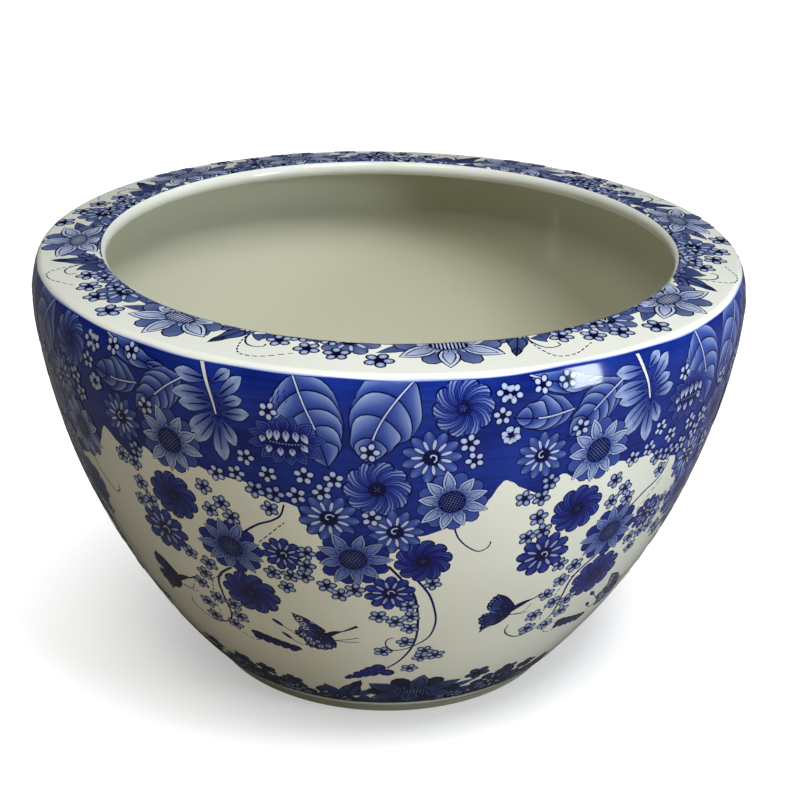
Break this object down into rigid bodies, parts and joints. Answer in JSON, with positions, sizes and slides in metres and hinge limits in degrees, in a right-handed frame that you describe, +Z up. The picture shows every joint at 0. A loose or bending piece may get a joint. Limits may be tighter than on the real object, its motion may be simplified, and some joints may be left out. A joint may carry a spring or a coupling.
{
  "type": "planter",
  "caption": "Deep round porcelain fish-bowl planter with a turned-in shoulder, a broad flat rim, a low foot ring, a drain hole and blue floral decoration on white.",
  "frame": {"origin": "centre of the foot ring's lower face, on the surface the planter stands on", "axes": "+Z up along the pot's axis; +Y points away from the viewer and +X to the viewer's right, as the pot is pictured"},
  "size_m": [0.4559, 0.456, 0.2818],
  "materials": {
    "biscuit_porcelain": "unglazed, wiped clean, matt",
    "porcelain_glaze": "clear glossy glaze over white porcelain",
    "cobalt_glaze": "cobalt blue print under clear glossy glaze"
  },
  "bodies": {
    "root": {"foot_ring": "biscuit_porcelain", "base_dish": "porcelain_glaze", "lower_wall": "porcelain_glaze", "upper_wall": "cobalt_glaze", "rim": "porcelain_glaze"}
  },
  "joints": []
}
